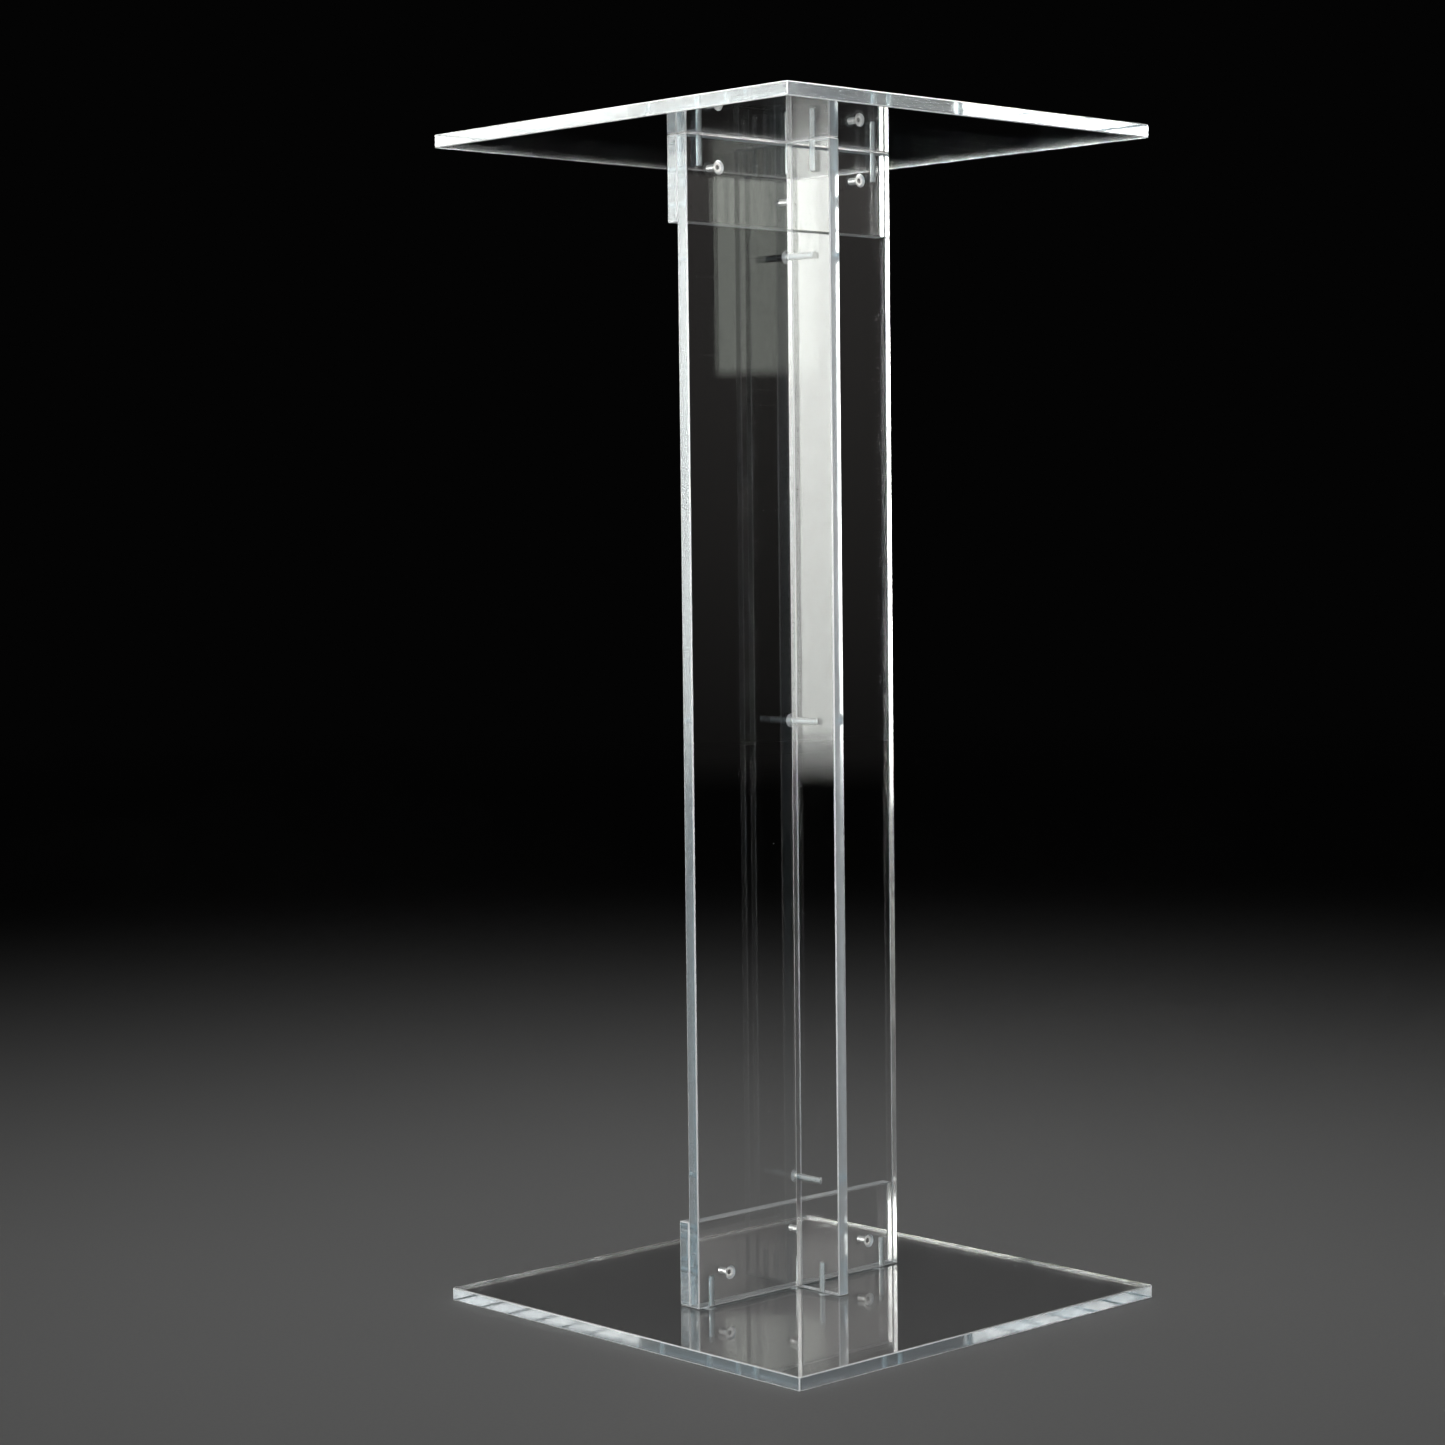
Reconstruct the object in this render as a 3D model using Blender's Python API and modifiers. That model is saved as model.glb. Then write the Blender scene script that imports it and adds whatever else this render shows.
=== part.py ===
"""Lectern stand of clear acrylic sheet, held together by countersunk socket screws.

A square base plate and a square top plate are joined by a T-shaped column: a wide
flange panel and a narrower web panel that butts on the middle of the flange's front
face. A cleat behind the flange stiffens each end of the column.

Metres, +Z up. The origin is the middle of the base plate's underside. The flange's
front face lies in the plane Y = 0, and the web stands in front of it, towards -Y.
"""

import math

import bmesh
import bpy
from mathutils import Matrix, Vector

# Sheets
SHEET = 0.012
PLATE_SIDE = 0.450
TOTAL_HEIGHT = 1.055
FLANGE_WIDTH = 0.254
WEB_DEPTH = 0.054
CLEAT_HEIGHT = 0.076
ARRIS = 0.0005  # chamfer along every polished edge
FIT_GAP = 0.0003  # clearance between neighbouring pieces
SHEET_IOR = 1.49

# Screws
HEAD_RADIUS = 0.0060
HEAD_RIM = 0.0004  # straight rim above the countersunk cone
SHANK_RADIUS = 0.0030
TIP_RADIUS = 0.0021
TIP_LENGTH = 0.0045
TIP_CHAMFER = 0.0006
SOCKET_ACROSS_FLATS = 0.004
SOCKET_DEPTH = 0.0022
PLATE_SCREW_LENGTH = 0.0380
WEB_SCREW_LENGTH = 0.0400
CLEAT_SCREW_LENGTH = 0.0225
HOLE_OVERRUN = 0.0008  # free depth beyond a screw's tip
BORE_GAP = 0.00036  # clearance round a screw, which the flats of its faceted bore keep too
CUTTER_REACH = 0.001  # how far a cutter stands out of the surface that it opens
MERGE_DISTANCE = 0.00001  # closes the turned profiles on their axis
SCREW_SIDES = 20
HOLE_SIDES = 20
SHADE_ANGLE = 30  # degrees between faces that still shade as one round surface

# Where the screws stand
EDGE_SCREW_X = 0.1085  # outer screws in the flange's ends
WEB_EDGE_SCREW_Y = -0.030  # screw in each end of the web
CLEAT_SCREW_X = 0.0885  # outer screws in a cleat
CLEAT_SIDE_SCREW_RISE = 0.0275  # outer cleat screws, from the plate's face
CLEAT_MIDDLE_SCREW_RISE = 0.0520  # middle cleat screw, from the plate's face
WEB_SCREW_RISE = 0.1010  # end screws of the web, from the plates' faces

# Derived levels
BASE_TOP = SHEET
TOP_UNDERSIDE = TOTAL_HEIGHT - SHEET
COLUMN_BOTTOM = BASE_TOP + FIT_GAP
COLUMN_TOP = TOP_UNDERSIDE - FIT_GAP
FLANGE_MIDDLE_Y = SHEET / 2
CLEAT_FRONT_Y = SHEET + FIT_GAP

ACRYLIC = {"colour": (0.86, 0.90, 0.91, 1.0), "roughness": 0.04, "metallic": 0.0}
STEEL = {"colour": (0.78, 0.78, 0.77, 1.0), "roughness": 0.28, "metallic": 1.0}


def clear_scene():
    for obj in list(bpy.data.objects):
        bpy.data.objects.remove(obj, do_unlink=True)


def new_collection(name):
    collection = bpy.data.collections.new(name)
    bpy.context.scene.collection.children.link(collection)
    return collection


def make_material(name, look, clear=False):
    """A Principled material of its own for one piece."""
    material = bpy.data.materials.new(name)
    material.use_nodes = True
    shader = material.node_tree.nodes["Principled BSDF"]
    shader.inputs["Base Color"].default_value = look["colour"]
    shader.inputs["Roughness"].default_value = look["roughness"]
    shader.inputs["Metallic"].default_value = look["metallic"]
    if clear:
        shader.inputs["Transmission Weight"].default_value = 1.0
        shader.inputs["IOR"].default_value = SHEET_IOR
    material.diffuse_color = look["colour"]
    return material


def add_object(name, mesh, collection):
    obj = bpy.data.objects.new(name, mesh)
    collection.objects.link(obj)
    return obj


def shade_round(mesh):
    mesh.shade_smooth()
    mesh.set_sharp_from_angle(angle=math.radians(SHADE_ANGLE))


def sheet_panel(name, low, high, collection, root):
    """A rectangular sheet between two corners, with its arrises broken."""
    low, high = Vector(low), Vector(high)
    middle = (low + high) / 2
    mesh = bpy.data.meshes.new(name)
    bm = bmesh.new()
    bmesh.ops.create_cube(bm, size=1.0, matrix=Matrix.Diagonal((*(high - low), 1.0)))
    bm.to_mesh(mesh)
    bm.free()
    panel = add_object(name, mesh, collection)
    panel.location = middle
    panel.parent = root
    arris = panel.modifiers.new("arris", "BEVEL")
    arris.width = ARRIS
    arris.segments = 1
    mesh.materials.append(make_material(name, ACRYLIC, clear=True))
    return panel


def turned_mesh(name, profile, sides):
    """The outline of (radius, height) points, running down its outer side, turned round Z."""
    mesh = bpy.data.meshes.new(name + "_profile")
    points = [(radius, 0.0, height) for radius, height in profile]
    edges = [(i, i + 1) for i in range(len(points) - 1)]
    mesh.from_pydata(points, edges, [])
    blank = bpy.data.objects.new(name + "_blank", mesh)
    bpy.context.scene.collection.objects.link(blank)
    turn = blank.modifiers.new("turn", "SCREW")
    turn.steps = sides
    turn.render_steps = sides
    turn.use_merge_vertices = True
    turn.merge_threshold = MERGE_DISTANCE
    bpy.context.view_layer.update()
    evaluated = blank.evaluated_get(bpy.context.evaluated_depsgraph_get())
    turned = bpy.data.meshes.new_from_object(evaluated)
    turned.name = name
    bpy.data.objects.remove(blank, do_unlink=True)
    bpy.data.meshes.remove(mesh)
    return turned


def screw_mesh(length):
    """A countersunk screw: its head's flat top is at the origin and its tip points to -Z."""
    cone = HEAD_RADIUS - SHANK_RADIUS
    profile = [
        (0.0, 0.0),
        (HEAD_RADIUS, 0.0),
        (HEAD_RADIUS, -HEAD_RIM),
        (SHANK_RADIUS, -HEAD_RIM - cone),
        (SHANK_RADIUS, -length + TIP_LENGTH),
        (TIP_RADIUS, -length + TIP_LENGTH - (SHANK_RADIUS - TIP_RADIUS)),
        (TIP_RADIUS, -length + TIP_CHAMFER),
        (TIP_RADIUS - TIP_CHAMFER, -length),
        (0.0, -length),
    ]
    return turned_mesh("screw", profile, SCREW_SIDES)


def hole_mesh(length):
    """The room that a screw needs: its own outline widened by the bore's gap."""
    cone = HEAD_RADIUS - SHANK_RADIUS
    above = FIT_GAP + CUTTER_REACH
    rim = HEAD_RIM + FIT_GAP
    wall = SHANK_RADIUS + BORE_GAP
    mouth = HEAD_RADIUS + BORE_GAP
    profile = [
        (0.0, above),
        (mouth, above),
        (mouth, -rim),
        (wall, -rim - cone),
        (wall, -length - HOLE_OVERRUN),
        (0.0, -length - HOLE_OVERRUN),
    ]
    return turned_mesh("hole", profile, HOLE_SIDES)


def socket_mesh():
    """The hexagonal driver socket in a screw's head."""
    mesh = bpy.data.meshes.new("socket")
    bm = bmesh.new()
    bmesh.ops.create_cone(
        bm,
        cap_ends=True,
        segments=6,
        radius1=SOCKET_ACROSS_FLATS / math.sqrt(3),
        radius2=SOCKET_ACROSS_FLATS / math.sqrt(3),
        depth=SOCKET_DEPTH + CUTTER_REACH,
        matrix=Matrix.Translation((0.0, 0.0, (CUTTER_REACH - SOCKET_DEPTH) / 2)),
    )
    bm.to_mesh(mesh)
    bm.free()
    return mesh


def placed(point, direction):
    """Local -Z along direction, with the head at point."""
    turn = Vector(direction).to_track_quat("-Z", "Y")
    return Matrix.LocRotScale(Vector(point), turn, None)


def cut(target, cutter):
    boolean = target.modifiers.new(cutter.name, "BOOLEAN")
    boolean.operation = "DIFFERENCE"
    boolean.solver = "EXACT"
    boolean.object = cutter


class ScrewSet:
    """Screws of one length: they share the mesh of the screw and that of its hole."""

    def __init__(self, length, parts, cutters, root):
        self.screw = screw_mesh(length)
        self.hole = hole_mesh(length)
        self.socket = socket_mesh()
        self.parts = parts
        self.cutters = cutters
        self.root = root
        shade_round(self.screw)

    def drive(self, name, head, direction, through):
        """Puts one screw in, and cuts its hole in every panel that it runs through."""
        mesh = self.screw.copy()
        mesh.materials.append(make_material(name, STEEL))
        screw = add_object(name, mesh, self.parts)
        screw.matrix_world = placed(head, direction)
        screw.parent = self.root
        for tool, shape, targets in (
            ("socket", self.socket, [screw]),
            ("hole", self.hole, through),
        ):
            cutter = add_object(f"{name}_{tool}", shape, self.cutters)
            cutter.matrix_world = placed(head, direction)
            cutter.parent = self.root
            cutter.hide_render = True
            cutter.display_type = "WIRE"
            for target in targets:
                cut(target, cutter)


def plates(parts, root):
    half = PLATE_SIDE / 2
    base = sheet_panel("base_plate", (-half, -half, 0.0), (half, half, BASE_TOP), parts, root)
    top = sheet_panel(
        "top_plate", (-half, -half, TOP_UNDERSIDE), (half, half, TOTAL_HEIGHT), parts, root
    )
    return base, top


def column(parts, root):
    half = FLANGE_WIDTH / 2
    flange = sheet_panel(
        "flange_panel", (-half, 0.0, COLUMN_BOTTOM), (half, SHEET, COLUMN_TOP), parts, root
    )
    web = sheet_panel(
        "web_panel",
        (-SHEET / 2, -FIT_GAP - WEB_DEPTH, COLUMN_BOTTOM),
        (SHEET / 2, -FIT_GAP, COLUMN_TOP),
        parts,
        root,
    )
    return flange, web


def cleats(parts, root):
    half = FLANGE_WIDTH / 2
    made = []
    for name, bottom in (
        ("lower_cleat", COLUMN_BOTTOM),
        ("upper_cleat", COLUMN_TOP - CLEAT_HEIGHT),
    ):
        low = (-half, CLEAT_FRONT_Y, bottom)
        high = (half, CLEAT_FRONT_Y + SHEET, bottom + CLEAT_HEIGHT)
        made.append(sheet_panel(name, low, high, parts, root))
    return made


def plate_screws(screws, base, top, flange, web):
    """Four screws through each plate: three up the flange and one up the web."""
    places = {
        "left": (-EDGE_SCREW_X, FLANGE_MIDDLE_Y, flange),
        "middle": (0.0, FLANGE_MIDDLE_Y, flange),
        "right": (EDGE_SCREW_X, FLANGE_MIDDLE_Y, flange),
        "web": (0.0, WEB_EDGE_SCREW_Y, web),
    }
    for place, (x, y, upright) in places.items():
        screws.drive(f"base_screw_{place}", (x, y, FIT_GAP), (0, 0, 1), [base, upright])
        head = (x, y, TOTAL_HEIGHT - FIT_GAP)
        screws.drive(f"top_screw_{place}", head, (0, 0, -1), [top, upright])


def cleat_screws(screws, lower, upper, flange):
    """Three screws through the flange into each cleat, the middle one further from the plate."""
    places = {
        "left": (-CLEAT_SCREW_X, CLEAT_SIDE_SCREW_RISE),
        "middle": (0.0, CLEAT_MIDDLE_SCREW_RISE),
        "right": (CLEAT_SCREW_X, CLEAT_SIDE_SCREW_RISE),
    }
    for place, (x, rise) in places.items():
        for name, cleat, z in (
            ("lower", lower, BASE_TOP + rise),
            ("upper", upper, TOP_UNDERSIDE - rise),
        ):
            head = (x, FIT_GAP, z)
            screws.drive(f"{name}_cleat_screw_{place}", head, (0, 1, 0), [flange, cleat])


def web_screws(screws, flange, web):
    """Three screws through the flange's back face into the web's edge."""
    levels = {
        "lower": BASE_TOP + WEB_SCREW_RISE,
        "centre": TOTAL_HEIGHT / 2,
        "upper": TOP_UNDERSIDE - WEB_SCREW_RISE,
    }
    for place, z in levels.items():
        head = (0.0, SHEET - FIT_GAP, z)
        screws.drive(f"web_screw_{place}", head, (0, -1, 0), [flange, web])


def main():
    clear_scene()
    parts = new_collection("lectern_stand")
    cutters = new_collection("cutters")
    cutters.hide_render = True
    root = bpy.data.objects.new("lectern_stand_root", None)
    parts.objects.link(root)

    base, top = plates(parts, root)
    flange, web = column(parts, root)
    lower, upper = cleats(parts, root)

    plate_screws(ScrewSet(PLATE_SCREW_LENGTH, parts, cutters, root), base, top, flange, web)
    cleat_screws(ScrewSet(CLEAT_SCREW_LENGTH, parts, cutters, root), lower, upper, flange)
    web_screws(ScrewSet(WEB_SCREW_LENGTH, parts, cutters, root), flange, web)


main()
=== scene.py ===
"""Looks of the clear acrylic lectern stand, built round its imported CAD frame.

Every panel becomes a polished sheet with rounded arrises, milled screw holes and a
refracting, faintly tinted body. Every screw becomes a threaded socket screw of
stainless steel. Metres, +Z up, in the frame of the CAD.
"""

import math

import bmesh
import bpy
from mathutils import Matrix, Vector


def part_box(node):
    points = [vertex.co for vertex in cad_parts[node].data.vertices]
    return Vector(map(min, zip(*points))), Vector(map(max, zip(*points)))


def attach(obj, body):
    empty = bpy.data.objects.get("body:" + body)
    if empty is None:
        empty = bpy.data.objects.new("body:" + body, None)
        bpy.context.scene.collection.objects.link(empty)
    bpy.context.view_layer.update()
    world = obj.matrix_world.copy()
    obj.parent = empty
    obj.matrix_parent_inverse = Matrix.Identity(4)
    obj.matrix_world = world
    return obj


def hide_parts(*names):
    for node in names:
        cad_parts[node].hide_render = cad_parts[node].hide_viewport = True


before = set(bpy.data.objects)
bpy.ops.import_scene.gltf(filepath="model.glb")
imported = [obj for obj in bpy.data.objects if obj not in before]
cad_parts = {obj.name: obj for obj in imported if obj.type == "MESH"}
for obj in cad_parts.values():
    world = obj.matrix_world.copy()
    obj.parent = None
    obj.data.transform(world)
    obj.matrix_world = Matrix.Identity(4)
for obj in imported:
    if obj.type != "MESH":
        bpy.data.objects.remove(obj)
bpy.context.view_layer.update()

BODY = "root"
AXES = "XYZ"
FULL_TURN = 2 * math.pi

# Screw heads
SOCKET_FLATS = 0.004
SOCKET_DEPTH = 0.0022
SOCKET_CHAMFER = 0.0003
SOCKET_FLOOR = 0.40  # radius of the round floor, as a share of the flats
SOCKET_POINT_DEPTH = 0.2  # drill point under that floor, as shares of the flats
SOCKET_POINT_RADIUS = 0.06
SOCKET_BANDS = 3  # rows of faces inside the socket, which take the darker steel of painted shade
HEAD_RIM = 0.0003
HEAD_SINK = 0.0012  # how far a head sits below the mouth of its countersink
HEAD_CORNER = ((0.0, 0.00025), (0.0001, 0.00006), (0.0002, 0.0))  # (drop, inset) round it
HEAD_END = 0.0006  # points this near to an end of a CAD screw belong to that end

# Screw shanks
NECK = 0.0001
THREAD_PITCH = 0.0010
THREAD_DEPTH = 0.00050
THREAD_STEPS = 6  # rings in one turn of the thread
THREAD_ROOT = 1.25  # more than 1 gives the groove a flat root
THREAD_BELOW_HEAD = 0.0004
THREAD_ABOVE_TIP = 0.0006
TIP_LENGTH = 0.0045
TIP_RADIUS = 0.0021
TIP_STEP = 0.0003
TIP_SHOULDER = 0.0006
TIP_NOSE = ((0.0008, 0.0), (0.0002, 0.0004), (0.0, 0.0010))  # (height, inset) at the end
SCREW_SIDES = 36
SCREW_SHARP = math.radians(40)

# Holes
BORE_CLEARANCE = 0.00012
HOLE_SIDES = 64
HOLE_OVERRUN = 0.0008
MOUTH_OVERRUN = 0.002
DRILL_POINT_DEPTH = 0.35  # of the drill's point, as shares of the hole's radius
DRILL_POINT_RADIUS = 0.12

# Sheets
ARRIS_SIZE = 0.0010
ARRIS_SEGMENTS = 2
SHEET_SHARP = math.radians(25)
FLAT_TOLERANCE = 0.00001
SQUARE_ON = 0.9999  # least share of a flat face's normal along its axis
FACE, EDGE, ARRIS, BORE, SAWN = range(5)  # material slots of a sheet

# Each sheet's thin axis, the least roughness of its edges, and their clear share
PANELS = {
    "base_plate": ("Z", 0.05, 0.84),
    "top_plate": ("Z", 0.05, 0.84),
    "flange_panel": ("Y", 0.08, 0.80),
    "lower_cleat": ("Y", 0.08, 0.80),
    "upper_cleat": ("Y", 0.08, 0.80),
    "web_panel": ("X", 0.08, 0.64),
}
SAWN_ROUGHNESS = 0.3
SAWN_CLEAR = 0.12

# Finishes
ACRYLIC_IOR = 1.49
ACRYLIC_BODY = (0.80, 0.90, 0.93, 1.0)
ACRYLIC_DENSITY = 0.65
WHITE = (1.0, 1.0, 1.0, 1.0)
HAIRLINE_ROUGHNESS = 0.02
HAIRLINE_DEPTH = 0.06  # as a share of a dust speck's height
DUST_ROUGHNESS = 0.8
EDGE_TINT = (0.96, 0.98, 1.0, 1.0)
EDGE_ROUGHNESS_SPAN = 0.08
MARK_SCALES = (8.0, 900.0)  # of the machining marks, along them and across them
ARRIS_TINTS = ((0.80, 0.82, 0.84, 1.0), WHITE)
STEEL_TINTS = ((0.88, 0.87, 0.85, 1.0), (0.97, 0.96, 0.94, 1.0))
STEEL_METALLIC = 0.55
# Socket steel: the same metal painted darker, as painted shade inside the socket's recess
SOCKET_PAINTED_SHADE_TINTS = ((0.26, 0.255, 0.25, 1.0), (0.42, 0.41, 0.40, 1.0))
SOCKET_METALLIC = 1.0
PAPER_TINTS = ((0.66, 0.66, 0.66, 1.0), (0.72, 0.72, 0.71, 1.0))

# Camera
CAMERA_PLACE = (-2.040, -2.069, 0.699)
CAMERA_YAW = math.radians(43.29)  # clockwise from +Y
CAMERA_PITCH = math.radians(-3.40)
CAMERA_ROLL = math.radians(0.62)
CAMERA_LENS = 80.5  # millimetres, as is the sensor
CAMERA_SENSOR = 36.0
CAMERA_CLIP = (0.05, 80.0)

# Studio
FLOOR_RADIUS = 9.0
FLOOR_FADE = (6.0, 8.6)  # radii between which the floor fades out
FLOOR_SIDES = 96
FLOOR_DROP = 0.0004  # under the base plate
WORLD_COLOUR = (0.0012, 0.0012, 0.0012, 1.0)
LAMP_TARGET = Vector((0.0, 0.0, 1.0))
SOFT_BOX_FADE = 0.03  # share of a lamp's height over which its foot fades in
OPEN_BEAM = 180.0  # degrees: a lamp without a grid
NEUTRAL = (1.0, 1.0, 1.0)
DAYLIGHT = (0.98, 0.99, 1.0)
CREAM = (1.0, 0.98, 0.94)

# Directions: away from the camera and across its view, and where it looks in the
# mirror of the sheets' -X faces (left) and of their -Y faces (right)
AHEAD = Vector((math.sin(CAMERA_YAW), math.cos(CAMERA_YAW), 0.0))
ACROSS = Vector((AHEAD.y, -AHEAD.x, 0.0))
LEFT = Vector((-AHEAD.x, AHEAD.y, 0.0))
RIGHT = -LEFT
UP = Vector((0.0, 0.0, 1.0))


# ---------------------------------------------------------------- node helpers


def new_material(name):
    material = bpy.data.materials.new(name)
    material.use_nodes = True
    material.node_tree.nodes.clear()
    return material


def add_node(tree, kind, settings=None, **inputs):
    """A shader node with its settings made, and its named inputs set or linked."""
    node = tree.nodes.new(kind)
    for key, value in (settings or {}).items():
        setattr(node, key, value)
    for key, value in inputs.items():
        socket = node.inputs[key.replace("_", " ")]
        if isinstance(value, bpy.types.NodeSocket):
            tree.links.new(value, socket)
        else:
            socket.default_value = value
    return node


def object_coordinates(tree, stretch=(1.0, 1.0, 1.0), turn=0.0):
    """The object's own coordinates, turned by so many degrees on each axis and stretched."""
    place = add_node(tree, "ShaderNodeTexCoord")
    mapping = add_node(
        tree,
        "ShaderNodeMapping",
        Vector=place.outputs["Object"],
        Scale=stretch,
        Rotation=[math.radians(turn)] * 3,
    )
    return mapping.outputs["Vector"]


def noise(tree, vector, scale=1.0, detail=3.0, roughness=0.5):
    node = add_node(
        tree,
        "ShaderNodeTexNoise",
        Vector=vector,
        Scale=scale,
        Detail=detail,
        Roughness=roughness,
    )
    return node.outputs["Fac"]


def remap(tree, value, source, target):
    """The value moved from the range source to the range target, and held inside it."""
    node = add_node(
        tree,
        "ShaderNodeMapRange",
        {"clamp": True},
        Value=value,
        From_Min=source[0],
        From_Max=source[1],
        To_Min=target[0],
        To_Max=target[1],
    )
    return node.outputs["Result"]


def math_node(tree, operation, a, b):
    node = add_node(tree, "ShaderNodeMath", {"operation": operation})
    for socket, value in zip(node.inputs, (a, b)):
        if isinstance(value, bpy.types.NodeSocket):
            tree.links.new(value, socket)
        else:
            socket.default_value = value
    return node.outputs["Value"]


def two_tone(tree, factor, tints):
    node = add_node(tree, "ShaderNodeMix", {"data_type": "RGBA"}, Factor=factor)
    node.inputs["A"].default_value, node.inputs["B"].default_value = tints
    return node.outputs["Result"]


def bumped(tree, height, strength, distance):
    node = add_node(
        tree, "ShaderNodeBump", Strength=strength, Distance=distance, Height=height
    )
    return node.outputs["Normal"]


def mixed_shader(tree, factor, first, second):
    node = add_node(tree, "ShaderNodeMixShader", Fac=factor)
    tree.links.new(first, node.inputs[1])
    tree.links.new(second, node.inputs[2])
    return node.outputs["Shader"]


def principled(tree, **inputs):
    return add_node(tree, "ShaderNodeBsdfPrincipled", **inputs).outputs["BSDF"]


def output(tree, surface):
    node = add_node(tree, "ShaderNodeOutputMaterial")
    tree.links.new(surface, node.inputs["Surface"])
    return node


# ------------------------------------------------------------------- materials


def dust(tree):
    """Rare specks: 1 in the middle of one, 0 elsewhere."""
    cells = add_node(
        tree,
        "ShaderNodeTexVoronoi",
        {"feature": "F1"},
        Vector=object_coordinates(tree),
        Scale=70.0,
    )
    split = add_node(tree, "ShaderNodeSeparateColor", Color=cells.outputs["Color"])
    chosen = remap(tree, split.outputs["Red"], source=(0.90, 0.91), target=(0.0, 1.0))
    near = remap(tree, cells.outputs["Distance"], source=(0.015, 0.04), target=(1.0, 0.0))
    return math_node(tree, "MULTIPLY", chosen, near)


def wiping_marks(tree, turn, closeness):
    vector = object_coordinates(tree, stretch=(2.0, closeness, 300.0), turn=turn)
    lines = noise(tree, vector, detail=1.0)
    return remap(tree, lines, source=(0.70, 0.74), target=(0.0, 1.0))


def scratches(tree):
    """Hairline wiping marks in two directions."""
    one_way = wiping_marks(tree, turn=24.0, closeness=300.0)
    other_way = wiping_marks(tree, turn=-38.0, closeness=405.0)
    return math_node(tree, "MAXIMUM", one_way, other_way)


def finish_glass(tree, surface, shade):
    """Output with a faint blue-grey body colour, whose shadow lets a grey share through."""
    tint = (shade, shade, shade, 1.0)
    clear = add_node(tree, "ShaderNodeBsdfTransparent", Color=tint)
    path = add_node(tree, "ShaderNodeLightPath")
    is_shadow = path.outputs["Is Shadow Ray"]
    out = output(tree, mixed_shader(tree, is_shadow, surface, clear.outputs["BSDF"]))
    body = add_node(
        tree,
        "ShaderNodeVolumeAbsorption",
        Color=ACRYLIC_BODY,
        Density=ACRYLIC_DENSITY,
    )
    tree.links.new(body.outputs["Volume"], out.inputs["Volume"])


def acrylic_face():
    """Polished face with faint smears, hairlines and dust."""
    material = new_material("acrylic_face")
    tree = material.node_tree
    cloud = noise(tree, object_coordinates(tree), scale=9.0, detail=4.0, roughness=0.6)
    smears = remap(tree, cloud, source=(0.45, 0.75), target=(0.0, 0.035))
    specks = dust(tree)
    hairlines = scratches(tree)
    worn = math_node(tree, "MULTIPLY", hairlines, HAIRLINE_ROUGHNESS)
    dusty = math_node(tree, "MULTIPLY", specks, DUST_ROUGHNESS)
    roughness = math_node(tree, "ADD", math_node(tree, "ADD", smears, worn), dusty)
    grooves = math_node(tree, "MULTIPLY", hairlines, -HAIRLINE_DEPTH)
    height = math_node(tree, "ADD", grooves, specks)
    shader = principled(
        tree,
        Base_Color=WHITE,
        Roughness=roughness,
        IOR=ACRYLIC_IOR,
        Transmission_Weight=1.0,
        Normal=bumped(tree, height, strength=0.15, distance=0.0002),
    )
    finish_glass(tree, shader, shade=0.96)
    return material


def acrylic_edge(name, thin_axis, polish, clear):
    """Machined edge: fine marks along its length, and a faint milky skin."""
    material = new_material(name)
    tree = material.node_tree
    slow, fine = MARK_SCALES
    stretch = (slow, slow, fine) if thin_axis == "Z" else (fine, fine, slow)
    marks = noise(tree, object_coordinates(tree, stretch), roughness=0.6)
    haze = noise(tree, object_coordinates(tree), scale=30.0)
    roughnesses = (polish, polish + EDGE_ROUGHNESS_SPAN)
    roughness = math_node(
        tree,
        "ADD",
        remap(tree, marks, source=(0.35, 0.75), target=roughnesses),
        remap(tree, haze, source=(0.4, 0.7), target=(0.0, 0.05)),
    )
    shader = principled(
        tree,
        Base_Color=EDGE_TINT,
        Roughness=roughness,
        IOR=ACRYLIC_IOR,
        Transmission_Weight=clear,
        Normal=bumped(tree, marks, strength=0.07, distance=0.0001),
    )
    finish_glass(tree, shader, shade=0.86)
    return material


def acrylic_arris():
    """Scraped corner strip between a face and an edge: satin white, finely scratched."""
    material = new_material("acrylic_arris")
    tree = material.node_tree
    grain = noise(tree, object_coordinates(tree), scale=500.0)
    shader = principled(
        tree,
        Base_Color=two_tone(tree, grain, ARRIS_TINTS),
        Roughness=remap(tree, grain, source=(0.3, 0.7), target=(0.28, 0.42)),
        IOR=ACRYLIC_IOR,
        Normal=bumped(tree, grain, strength=0.3, distance=0.0001),
    )
    output(tree, shader)
    return material


def acrylic_bore():
    """Cut wall of a screw hole: ground by the drill and frosted by the thread."""
    material = new_material("acrylic_bore")
    tree = material.node_tree
    grain = noise(tree, object_coordinates(tree), scale=1400.0)
    shader = principled(
        tree,
        Base_Color=WHITE,
        Roughness=remap(tree, grain, source=(0.3, 0.7), target=(0.25, 0.45)),
        IOR=ACRYLIC_IOR,
        Transmission_Weight=0.5,
        Normal=bumped(tree, grain, strength=0.4, distance=0.0001),
    )
    finish_glass(tree, shader, shade=0.95)
    return material


def stainless_steel(name, tints, metallic):
    """Turned steel: fine rings round the screw, and a patchy satin."""
    material = new_material(name)
    tree = material.node_tree
    turned = noise(tree, object_coordinates(tree, stretch=(60.0, 60.0, 2600.0)))
    patches = noise(tree, object_coordinates(tree), scale=420.0, detail=4.0, roughness=0.6)
    roughness = math_node(
        tree,
        "ADD",
        remap(tree, turned, source=(0.3, 0.7), target=(0.30, 0.42)),
        remap(tree, patches, source=(0.3, 0.7), target=(0.0, 0.12)),
    )
    shader = principled(
        tree,
        Base_Color=two_tone(tree, patches, tints),
        Metallic=metallic,
        Roughness=roughness,
        Normal=bumped(tree, turned, strength=0.25, distance=0.00005),
    )
    output(tree, shader)
    return material


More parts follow.
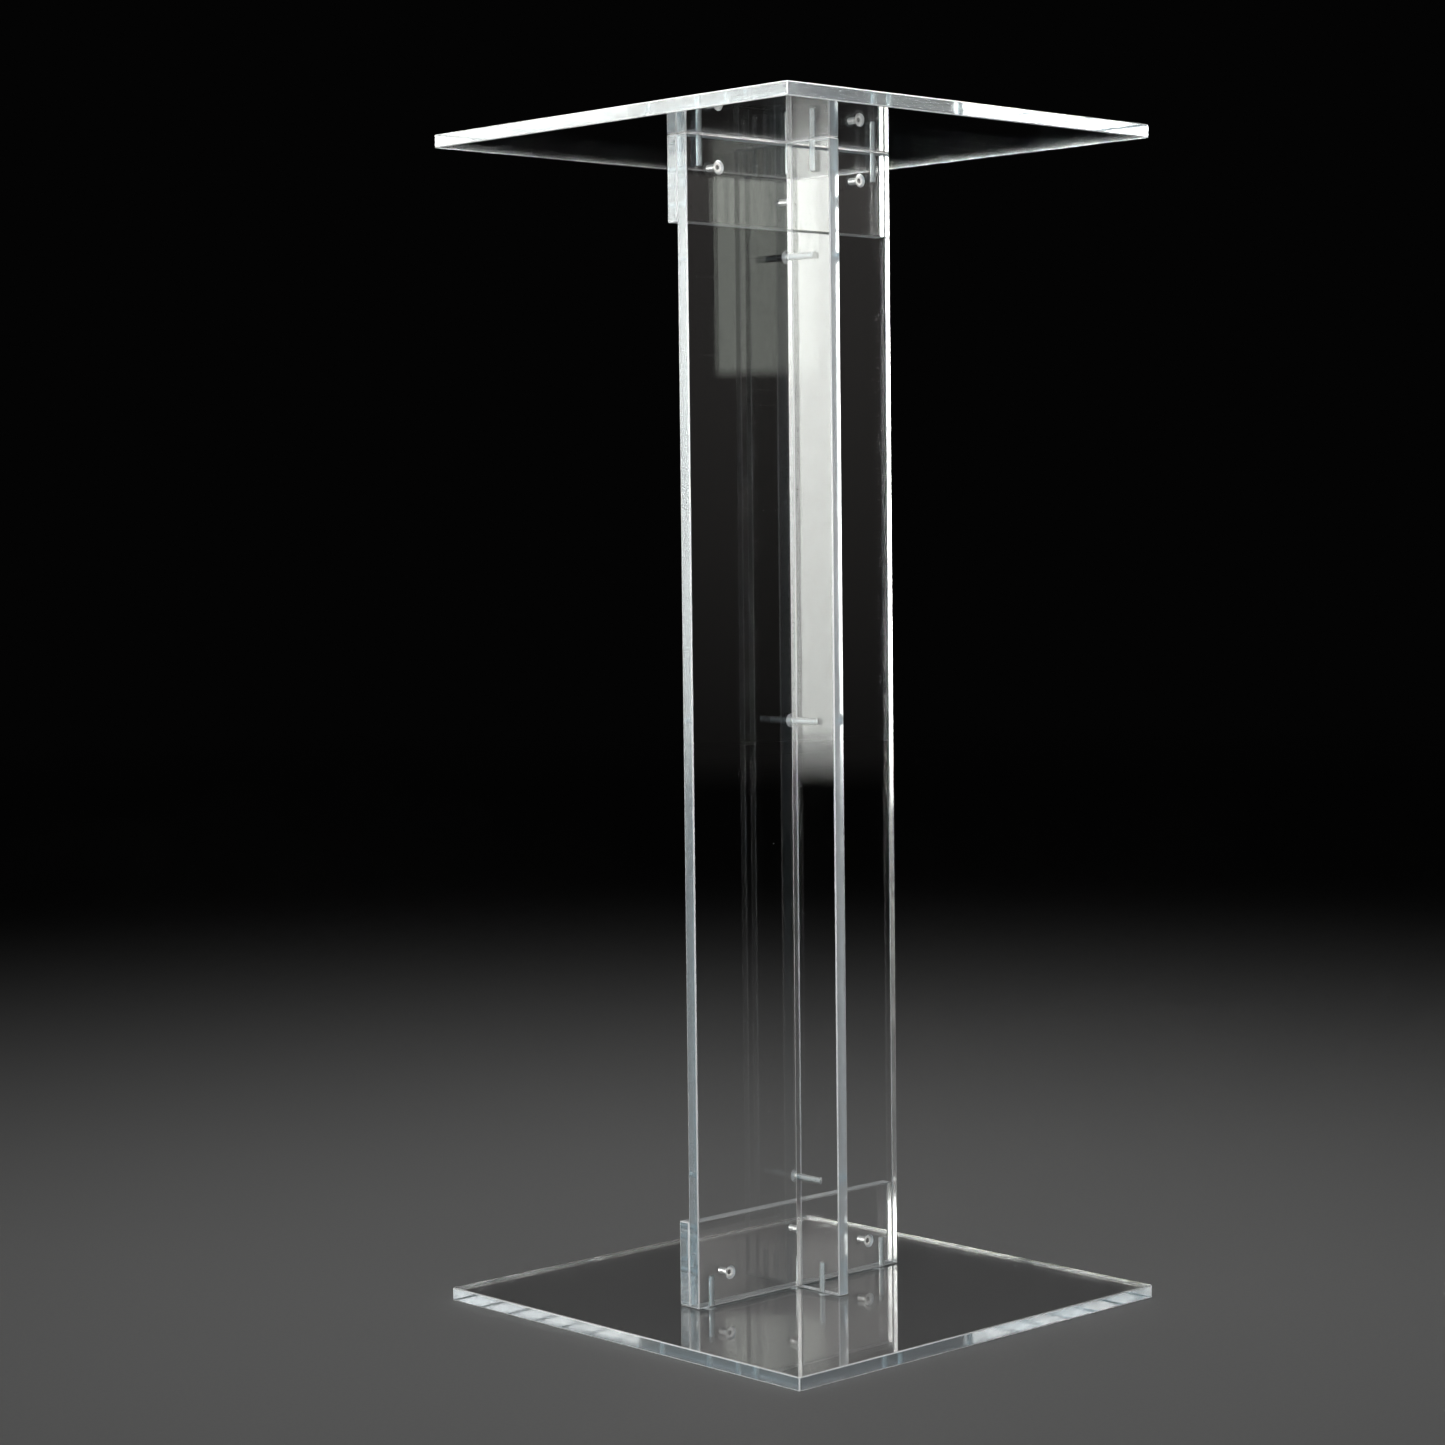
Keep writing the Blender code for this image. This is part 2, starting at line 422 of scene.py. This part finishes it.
def floor_paper():
    """Pale paper with a fine fibre, which fades out towards its rim."""
    material = new_material("floor_paper")
    tree = material.node_tree
    fibre = noise(tree, object_coordinates(tree), scale=260.0)
    shader = principled(
        tree,
        Base_Color=two_tone(tree, fibre, PAPER_TINTS),
        Roughness=0.8,
        Normal=bumped(tree, fibre, strength=0.05, distance=0.0005),
    )
    reach = add_node(tree, "ShaderNodeVectorMath", {"operation": "LENGTH"})
    tree.links.new(object_coordinates(tree), reach.inputs[0])
    gone = add_node(tree, "ShaderNodeBsdfTransparent")
    fade = remap(tree, reach.outputs["Value"], source=FLOOR_FADE, target=(0.0, 1.0))
    output(tree, mixed_shader(tree, fade, shader, gone.outputs["BSDF"]))
    return material


# ---------------------------------------------------------------- turned shapes


def circle(radius):
    return lambda angle: radius


def hexagon(flats):
    sixth = FULL_TURN / 6
    return lambda angle: flats / 2 / math.cos((angle + sixth / 2) % sixth - sixth / 2)


def lofted(name, rings, sides, inner_bands=0):
    """A closed mesh through (z, outline) rings, from its top to its bottom.

    An outline gives the radius at an angle. The first bands take the second material.
    """
    bm = bmesh.new()
    grid = []
    for z, outline in rings:
        ring = []
        for step in range(sides):
            angle = FULL_TURN * step / sides
            radius = outline(angle)
            place = (radius * math.cos(angle), radius * math.sin(angle), z)
            ring.append(bm.verts.new(place))
        grid.append(ring)
    for band, (upper, lower) in enumerate(zip(grid, grid[1:])):
        for a in range(sides):
            b = (a + 1) % sides
            face = bm.faces.new((upper[a], lower[a], lower[b], upper[b]))
            face.material_index = int(band < inner_bands)
    bm.faces.new(grid[0]).material_index = int(inner_bands > 0)
    bm.faces.new(list(reversed(grid[-1])))
    bmesh.ops.recalc_face_normals(bm, faces=bm.faces)
    mesh = bpy.data.meshes.new(name)
    bm.to_mesh(mesh)
    bm.free()
    return mesh


def thread_rings(top, bottom, radius):
    """(z, outline) rings of a thread that fades in and out at its ends."""
    count = int(round((top - bottom) / THREAD_PITCH * THREAD_STEPS))
    rings = []
    for i in range(count + 1):
        z = top + (bottom - top) * i / count
        fade = min(1.0, (top - z) / THREAD_PITCH, (z - bottom) / THREAD_PITCH)

        def outline(angle, z=z, fade=fade):
            turn = (z / THREAD_PITCH - angle / FULL_TURN) % 1.0
            groove = 1.0 - abs(2.0 * turn - 1.0)
            return radius - THREAD_DEPTH * fade * min(1.0, groove * THREAD_ROOT)

        rings.append((z, outline))
    return rings


def screw_mesh(length, head_radius):
    """A threaded countersunk socket screw.

    The mouth of its hole is at the origin, and its tip points towards -Z.
    """
    shank = head_radius / 2
    head = head_radius - HEAD_SINK - HEAD_RIM
    corner = SOCKET_FLATS / math.sqrt(3)
    top = -HEAD_SINK
    floor = top - SOCKET_DEPTH
    cone_end = top - HEAD_RIM - (head - shank)
    tip_top = -length + TIP_LENGTH
    point = floor - SOCKET_FLATS * SOCKET_POINT_DEPTH
    rings = [
        (point, circle(SOCKET_FLATS * SOCKET_POINT_RADIUS)),
        (floor, circle(SOCKET_FLATS * SOCKET_FLOOR)),
        (floor, hexagon(SOCKET_FLATS)),
        (top - SOCKET_CHAMFER, hexagon(SOCKET_FLATS)),
        (top, circle(corner + SOCKET_CHAMFER)),
    ]
    rings += [(top - drop, circle(head - inset)) for drop, inset in HEAD_CORNER]
    rings += [(top - HEAD_RIM, circle(head)), (cone_end - NECK, circle(shank))]
    rings += thread_rings(cone_end - THREAD_BELOW_HEAD, tip_top + THREAD_ABOVE_TIP, shank)
    rings += [
        (tip_top, circle(shank - TIP_STEP)),
        (tip_top - TIP_SHOULDER, circle(TIP_RADIUS)),
    ]
    rings += [(-length + rise, circle(TIP_RADIUS - inset)) for rise, inset in TIP_NOSE]
    mesh = lofted("threaded_screw", rings, SCREW_SIDES, SOCKET_BANDS)
    mesh.shade_smooth()
    mesh.set_sharp_from_angle(angle=SCREW_SHARP)
    return mesh


def hole_mesh(length, head_radius):
    """The turned room round one screw, a little wider than the screw itself."""
    mouth = head_radius + BORE_CLEARANCE
    wall = head_radius / 2 + BORE_CLEARANCE
    end = -length - HOLE_OVERRUN
    rings = [
        (MOUTH_OVERRUN, circle(mouth)),
        (0.0, circle(mouth)),
        (wall - mouth, circle(wall)),
        (end, circle(wall)),
        (end - wall * DRILL_POINT_DEPTH, circle(wall * DRILL_POINT_RADIUS)),
    ]
    return lofted("hole_cutter", rings, HOLE_SIDES)


# ------------------------------------------------------------- screws and holes


def screw_names():
    return [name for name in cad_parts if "_screw_" in name]


def widest_at(points, middle, axis, level):
    """The farthest that a screw's points at one level reach from its axis."""
    reach = 0.0
    for point in points:
        if abs(point[axis] - level) < HEAD_END:
            offset = point - middle
            offset[axis] = 0.0
            reach = max(reach, offset.length)
    return reach


def screw_axis(node):
    """(middle of the head's flat top, direction of the tip, length, head radius)."""
    low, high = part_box(node)
    size = high - low
    axis = max(range(3), key=lambda i: size[i])
    middle = (low + high) / 2
    points = [vertex.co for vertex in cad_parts[node].data.vertices]
    low_end = widest_at(points, middle, axis, low[axis])
    high_end = widest_at(points, middle, axis, high[axis])
    direction = Vector((0.0, 0.0, 0.0))
    direction[axis] = 1.0 if low_end > high_end else -1.0
    head = middle.copy()
    head[axis] = low[axis] if low_end > high_end else high[axis]
    return head, direction, size[axis], min(size) / 2


def along_screws(make_mesh, ending):
    """An object at each screw, from one mesh for each length of screw."""
    objects = {}
    meshes = {}
    for name in screw_names():
        head, direction, length, head_radius = screw_axis(name)
        key = round(length, 4)
        if key not in meshes:
            meshes[key] = make_mesh(length, head_radius)
        obj = bpy.data.objects.new(name + ending, meshes[key])
        bpy.context.scene.collection.objects.link(obj)
        turn = direction.to_track_quat("-Z", "Y")
        obj.matrix_world = Matrix.LocRotScale(head, turn, None)
        objects[name] = obj
    return objects


def build_screws():
    """The screws, as a collection for the lamp that lights only them."""
    steel = stainless_steel("stainless_steel", STEEL_TINTS, STEEL_METALLIC)
    # The inside of each socket gets a darker steel: painted shade for the recess
    painted_shade_steel = stainless_steel("socket_steel", SOCKET_PAINTED_SHADE_TINTS, SOCKET_METALLIC)

    def steel_screw(length, head_radius):
        mesh = screw_mesh(length, head_radius)
        mesh.materials.append(steel)
        mesh.materials.append(painted_shade_steel)
        return mesh

    lit = bpy.data.collections.new("screws")
    for name, screw in along_screws(steel_screw, "_threaded").items():
        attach(screw, BODY)
        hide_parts(name)
        lit.objects.link(screw)
    return lit


# ---------------------------------------------------------------------- panels


def sheet_blank(name, low, high):
    """A box between two corners with rounded arrises."""
    mesh = bpy.data.meshes.new(name)
    bm = bmesh.new()
    bmesh.ops.create_cube(bm, size=1.0, matrix=Matrix.Diagonal((*(high - low), 1.0)))
    bmesh.ops.translate(bm, verts=bm.verts, vec=(low + high) / 2)
    bmesh.ops.bevel(
        bm,
        geom=list(bm.edges),
        offset=ARRIS_SIZE,
        segments=ARRIS_SEGMENTS,
        profile=0.5,
        affect="EDGES",
    )
    bm.to_mesh(mesh)
    bm.free()
    obj = bpy.data.objects.new(name, mesh)
    bpy.context.scene.collection.objects.link(obj)
    return obj


def boxes_meet(a, b):
    return all(a[0][i] < b[1][i] and b[0][i] < a[1][i] for i in range(3))


def cut_holes(panel, box, cutters):
    """The panel's mesh without the room of each screw that reaches into its box."""
    for name, cutter in cutters.items():
        if boxes_meet(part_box(name), box):
            hole = panel.modifiers.new(name, "BOOLEAN")
            hole.operation = "DIFFERENCE"
            hole.solver = "EXACT"
            hole.object = cutter
    bpy.context.view_layer.update()
    graph = bpy.context.evaluated_depsgraph_get()
    mesh = bpy.data.meshes.new_from_object(panel.evaluated_get(graph))
    panel.modifiers.clear()
    panel.data = mesh
    return mesh


def part_of_sheet(polygon, axis, low, high):
    """(material slot, smooth) of a polygon of a sheet that is thin along axis."""
    centre = polygon.center
    along = max(range(3), key=lambda i: abs(polygon.normal[i]))
    depth = [min(centre[i] - low[i], high[i] - centre[i]) for i in range(3)]
    if depth[along] < FLAT_TOLERANCE and abs(polygon.normal[along]) > SQUARE_ON:
        if along == axis:
            return FACE, False
        return (SAWN if AXES[along] == "Z" else EDGE), False
    near_skins = sum(d < ARRIS_SIZE for d in depth)
    return (ARRIS if near_skins >= 2 else BORE), True


def build_panel(node, thin_axis, finishes, cutters):
    low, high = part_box(node)
    panel = sheet_blank(node + "_sheet", low, high)
    mesh = cut_holes(panel, (low, high), cutters)
    mesh.materials.clear()
    for material in finishes:
        mesh.materials.append(material)
    mesh.shade_smooth()
    mesh.set_sharp_from_angle(angle=SHEET_SHARP)
    axis = AXES.index(thin_axis)
    for polygon in mesh.polygons:
        polygon.material_index, polygon.use_smooth = part_of_sheet(polygon, axis, low, high)
    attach(panel, BODY)
    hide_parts(node)


def build_panels():
    face = acrylic_face()
    arris = acrylic_arris()
    bore = acrylic_bore()
    sawn = acrylic_edge("acrylic_sawn_end", "Y", SAWN_ROUGHNESS, SAWN_CLEAR)
    cutters = along_screws(hole_mesh, "_hole")
    bpy.context.view_layer.update()
    for node, (thin_axis, polish, clear) in PANELS.items():
        edge = acrylic_edge("acrylic_edge_" + node, thin_axis, polish, clear)
        build_panel(node, thin_axis, (face, edge, arris, bore, sawn), cutters)
    for cutter in cutters.values():
        bpy.data.objects.remove(cutter, do_unlink=True)


# ---------------------------------------------------------------------- studio


def build_floor():
    bm = bmesh.new()
    bmesh.ops.create_circle(bm, cap_ends=True, segments=FLOOR_SIDES, radius=FLOOR_RADIUS)
    mesh = bpy.data.meshes.new("floor")
    bm.to_mesh(mesh)
    bm.free()
    mesh.materials.append(floor_paper())
    floor = bpy.data.objects.new("floor", mesh)
    floor.location.z = -FLOOR_DROP
    bpy.context.scene.collection.objects.link(floor)
    return floor


def build_world():
    world = bpy.data.worlds.new("studio")
    bpy.context.scene.world = world
    world.use_nodes = True
    background = world.node_tree.nodes["Background"]
    background.inputs["Color"].default_value = WORLD_COLOUR
    background.inputs["Strength"].default_value = 1.0


def flagged_from(floor):
    """A light-linking collection that keeps a lamp off the floor."""
    flag = bpy.data.collections.new("not_on_the_floor")
    flag.objects.link(floor)
    flag.collection_objects[0].light_linking.link_state = "EXCLUDE"
    return flag


def soft_box(name, place, size, radiance, colour=NEUTRAL, spread=OPEN_BEAM, lights=None):
    """A rectangular lamp turned to the object.

    Its radiance is (at its foot, at its top). A grid on it narrows its beam to spread
    degrees. It lights what the collection lights holds or leaves in, or everything.
    """
    width, height = size
    half = math.radians(spread) / 2
    grid_gain = 1.0 if spread == OPEN_BEAM else math.tan(half) / (math.tan(half) - half)
    lamp = bpy.data.lights.new(name, "AREA")
    lamp.shape = "RECTANGLE"
    lamp.size = width
    lamp.size_y = height
    lamp.spread = math.radians(spread)
    lamp.energy = math.pi * width * height / grid_gain
    lamp.color = colour
    lamp.use_nodes = True
    tree = lamp.node_tree
    spot = add_node(tree, "ShaderNodeNewGeometry")
    split = add_node(tree, "ShaderNodeSeparateXYZ", Vector=spot.outputs["Parametric"])
    rise = split.outputs["Y"]
    strength = remap(tree, rise, source=(0.0, 1.0), target=radiance)
    foot = remap(tree, rise, source=(0.0, SOFT_BOX_FADE), target=(0.0, 1.0))
    strength = math_node(tree, "MULTIPLY", strength, foot)
    tree.links.new(strength, tree.nodes["Emission"].inputs["Strength"])
    box = bpy.data.objects.new(name, lamp)
    bpy.context.scene.collection.objects.link(box)
    box.location = place
    aim = LAMP_TARGET - place
    box.rotation_euler = aim.to_track_quat("-Z", "Y").to_euler()
    box.visible_camera = False
    box.light_linking.receiver_collection = lights


def build_mirrored_lamps(flag):
    """What the sheets' faces mirror: a bright panel, a strip, grey walls and a ceiling."""
    soft_box(
        "left_panel",
        place=LEFT * 14.0 + UP * 1.01,
        size=(9.0, 3.92),
        radiance=(5.0, 10.7),
        colour=(0.97, 1.0, 0.96),
        lights=flag,
    )
    soft_box(
        "right_strip",
        place=RIGHT * 4.0 + AHEAD * 0.045 + UP * 1.45,
        size=(0.22, 0.86),
        radiance=(1.25, 1.3),
        colour=(0.93, 1.0, 0.90),
        lights=flag,
    )
    for name, side in (("left", LEFT), ("right", RIGHT)):
        soft_box(
            name + "_wall",
            place=side * 5.5 + UP * 1.5,
            size=(3.4, 3.0),
            radiance=(0.03, 0.42),
            colour=(1.0, 0.95, 0.91),
            lights=flag,
        )
        soft_box(
            name + "_ceiling",
            place=side * 14.0 + UP * 5.5,
            size=(9.0, 5.0),
            radiance=(0.85, 0.85),
            colour=(1.0, 0.98, 0.96),
            lights=flag,
        )


def build_edge_lamps(flag):
    """What lights the milky edges: two kickers near the top, and boxes at the front."""
    soft_box(
        "side_kicker",
        place=Vector((-0.72, -0.35, 1.65)),
        size=(0.4, 0.4),
        radiance=(32.0, 32.0),
        colour=CREAM,
        spread=60.0,
        lights=flag,
    )
    soft_box(
        "back_kicker",
        place=Vector((0.75, 0.55, 1.6)),
        size=(0.4, 0.4),
        radiance=(18.0, 18.0),
        colour=CREAM,
        spread=60.0,
        lights=flag,
    )
    soft_box(
        "right_softbox",
        place=RIGHT * 4.0 - AHEAD * 0.6 + UP * 1.4,
        size=(0.8, 2.2),
        radiance=(3.0, 3.0),
        colour=(0.96, 0.99, 1.0),
        spread=60.0,
        lights=flag,
    )
    for name, offset in (("front_softbox_left", -0.8), ("front_softbox_right", 0.8)):
        soft_box(
            name,
            place=AHEAD * -3.4 + ACROSS * offset + UP * 1.1,
            size=(1.3, 2.0),
            radiance=(7.4, 7.4),
            colour=DAYLIGHT,
            spread=60.0,
            lights=flag,
        )


def build_lights(floor, screws):
    flag = flagged_from(floor)
    soft_box(
        "overhead_softbox",
        place=UP * 2.9,
        size=(1.8, 1.8),
        radiance=(1.7, 1.7),
        spread=90.0,
    )
    build_mirrored_lamps(flag)
    build_edge_lamps(flag)
    soft_box(
        "screw_light",
        place=RIGHT * 2.4 - AHEAD * 0.3 + UP * 1.9,
        size=(0.7, 0.5),
        radiance=(56.0, 56.0),
        colour=CREAM,
        spread=50.0,
        lights=screws,
    )


def build_camera():
    data = bpy.data.cameras.new("camera")
    data.lens = CAMERA_LENS
    data.sensor_width = CAMERA_SENSOR
    data.clip_start, data.clip_end = CAMERA_CLIP
    camera = bpy.data.objects.new("camera", data)
    bpy.context.scene.collection.objects.link(camera)
    level = math.radians(90.0)
    turn = (
        Matrix.Rotation(-CAMERA_YAW, 4, "Z")
        @ Matrix.Rotation(level + CAMERA_PITCH, 4, "X")
        @ Matrix.Rotation(-CAMERA_ROLL, 4, "Z")
    )
    camera.matrix_world = Matrix.Translation(CAMERA_PLACE) @ turn
    bpy.context.scene.camera = camera


def tone():
    view = bpy.context.scene.view_settings
    view.view_transform = "Standard"
    view.look = "None"
    view.exposure = 0.0


def light_paths():
    """Enough bounces for light that is caught inside a sheet to reach its edge."""
    cycles = bpy.context.scene.cycles
    cycles.max_bounces = 48
    cycles.transmission_bounces = 48
    cycles.glossy_bounces = 24
    cycles.diffuse_bounces = 4
    cycles.transparent_max_bounces = 48
    cycles.caustics_refractive = False
    cycles.caustics_reflective = False
    cycles.blur_glossy = 0.0
    cycles.sample_clamp_indirect = 20.0


screws = build_screws()
build_panels()
build_world()
build_lights(build_floor(), screws)
build_camera()
light_paths()
tone()
